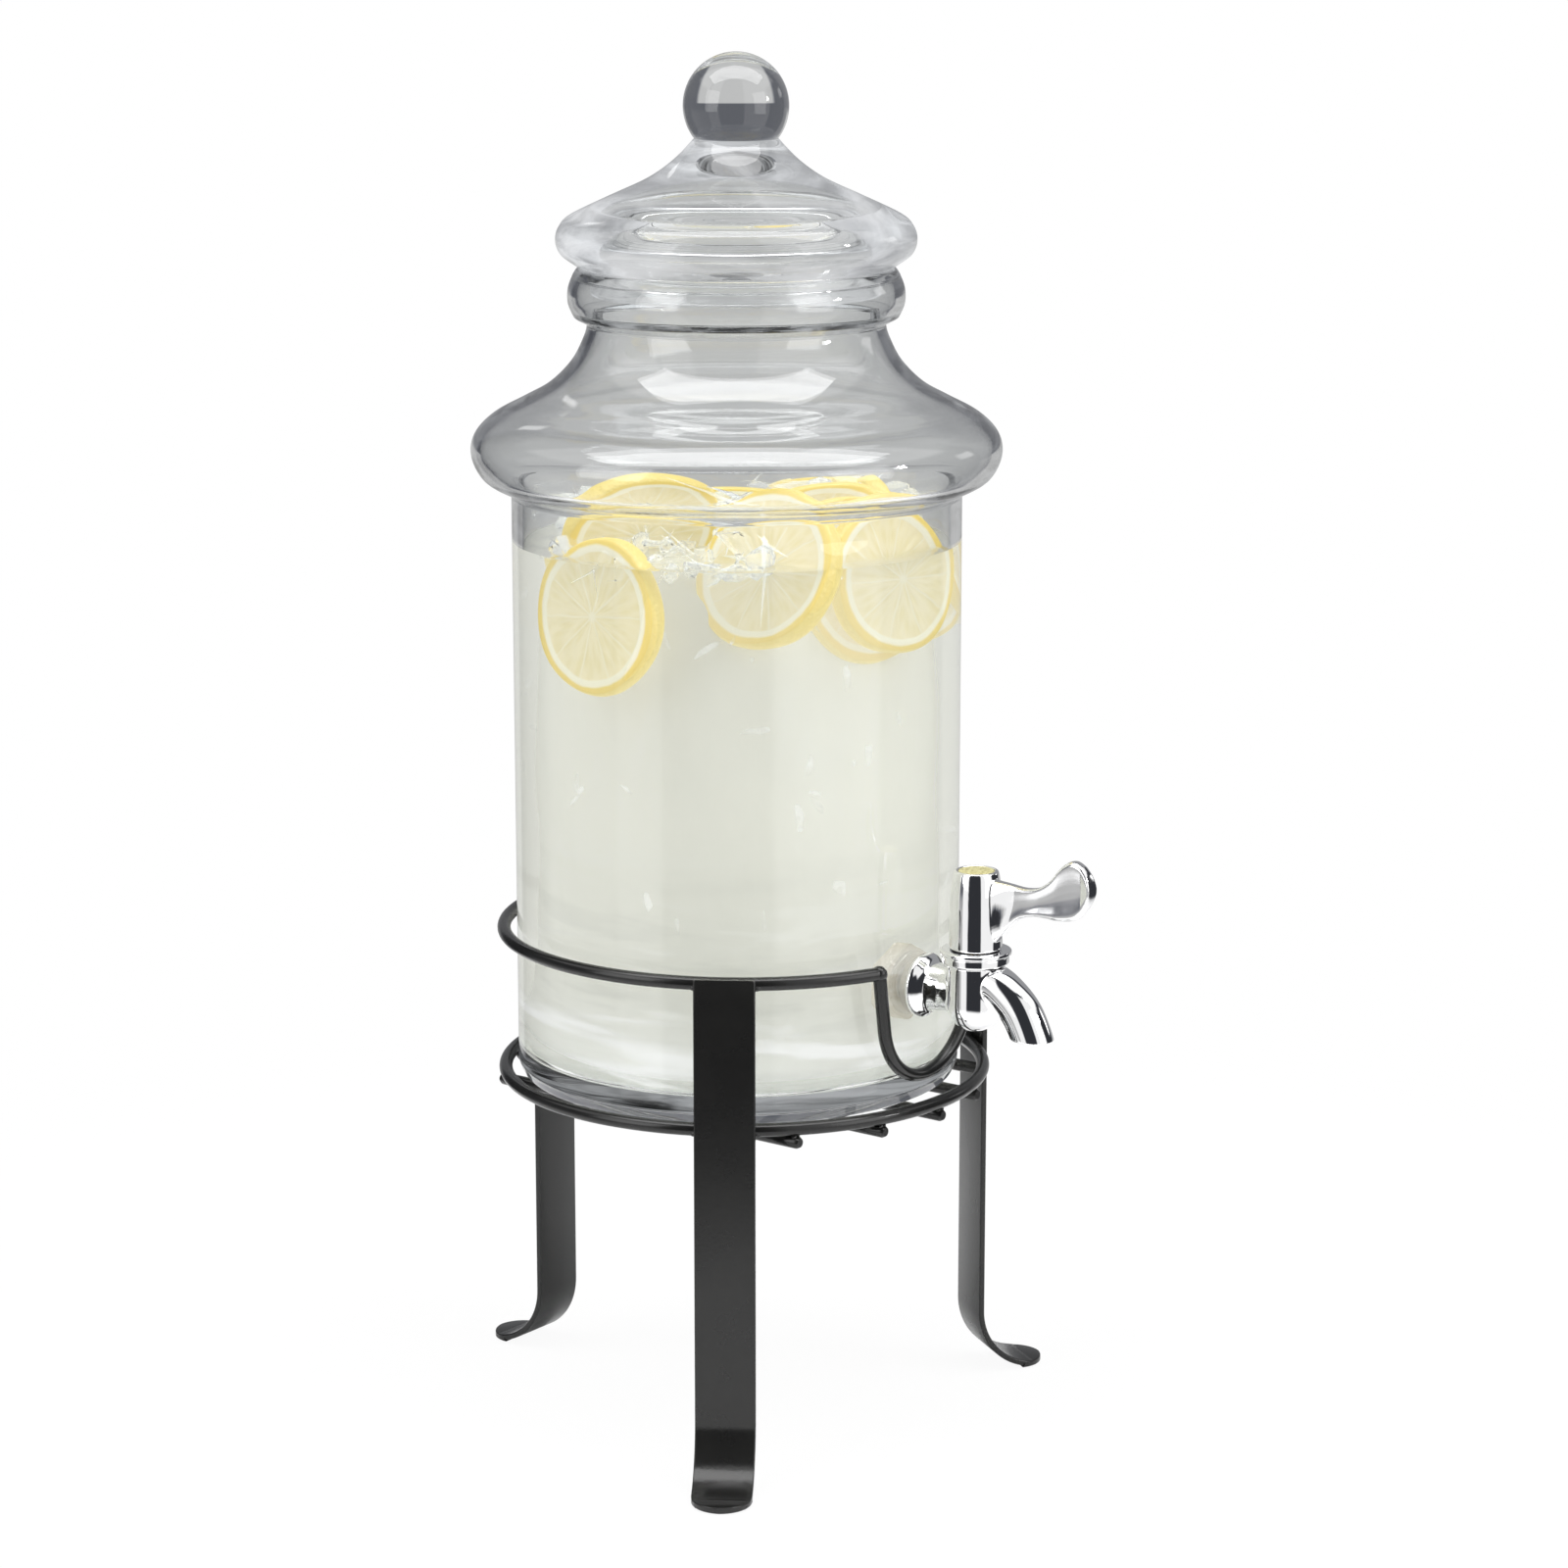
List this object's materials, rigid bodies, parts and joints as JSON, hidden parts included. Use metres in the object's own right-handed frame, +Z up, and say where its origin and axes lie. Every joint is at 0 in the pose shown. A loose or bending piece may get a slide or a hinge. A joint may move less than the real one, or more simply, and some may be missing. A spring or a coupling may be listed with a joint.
{
  "type": "beverage dispenser",
  "caption": "Lidded glass drinks jar with a quarter-turn lever tap, standing in a flat-legged black iron stand with a loop for the tap.",
  "frame": {"origin": "on the floor, under the middle of the footprint that the three feet and the tap lever cover", "axes": "+Z up, the tap and its lever point along -Y, +X to the right as seen from behind the tap, X = 0 is the plane of symmetry"},
  "size_m": [0.2276, 0.3015, 0.5532],
  "materials": {
    "clear_glass": "clear polished glass",
    "black_powder_coat": "gloss black powder coat over iron",
    "chrome": "bright chrome plate over cast metal",
    "clear_rubber": "milky silicone rubber",
    "cream_plastic": "cream moulded plastic",
    "white_plastic": "white acetal",
    "black_rubber": "black sealing rubber",
    "stem_brass": "turned brass",
    "screw_steel": "plain steel",
    "yellow_disc": "pale yellow speckled disc with no lettering",
    "lemonade": "cloudy pale drink, visual filling only",
    "ice": "crushed clear ice, visual filling only",
    "lemon": "cut lemon slice with yellow rind, visual filling only"
  },
  "bodies": {
    "stand": {"upper_hoop": "black_powder_coat", "tap_loop": "black_powder_coat", "lower_hoop": "black_powder_coat", "leg_back": "black_powder_coat", "leg_front_left": "black_powder_coat", "leg_front_right": "black_powder_coat", "base_rod_1": "black_powder_coat", "base_rod_2": "black_powder_coat", "base_rod_3": "black_powder_coat", "base_rod_4": "black_powder_coat", "base_rod_5": "black_powder_coat"},
    "jar": {"jar_base": "clear_glass", "jar_wall": "clear_glass", "jar_shoulder": "clear_glass", "jar_neck": "clear_glass", "jar_mouth": "clear_glass", "tap_body": "chrome", "outer_washer": "clear_rubber", "inner_washer": "clear_rubber", "lock_nut": "cream_plastic", "bonnet_collar": "chrome"},
    "lid": {"glass_lid": "clear_glass"},
    "tap_handle": {"tap_handle": "chrome", "valve_plug": "white_plastic", "seal_lower": "black_rubber", "seal_upper": "black_rubber", "valve_stem": "stem_brass", "handle_screw": "screw_steel", "cap_disc": "yellow_disc"}
  },
  "joints": [
    {"name": "jar_lift", "type": "slide", "parent": "stand", "child": "jar", "axis": [0, 0, 1], "range_m": [0, 0.08]},
    {"name": "lid_lift", "type": "slide", "parent": "jar", "child": "lid", "axis": [0, 0, 1], "range_m": [0, 0.06]},
    {"name": "tap_turn", "type": "hinge", "parent": "jar", "child": "tap_handle", "pos_m": [0, -0.0969, 0.191], "axis": [0, 0, 1], "range_deg": [-90, 90]}
  ]
}
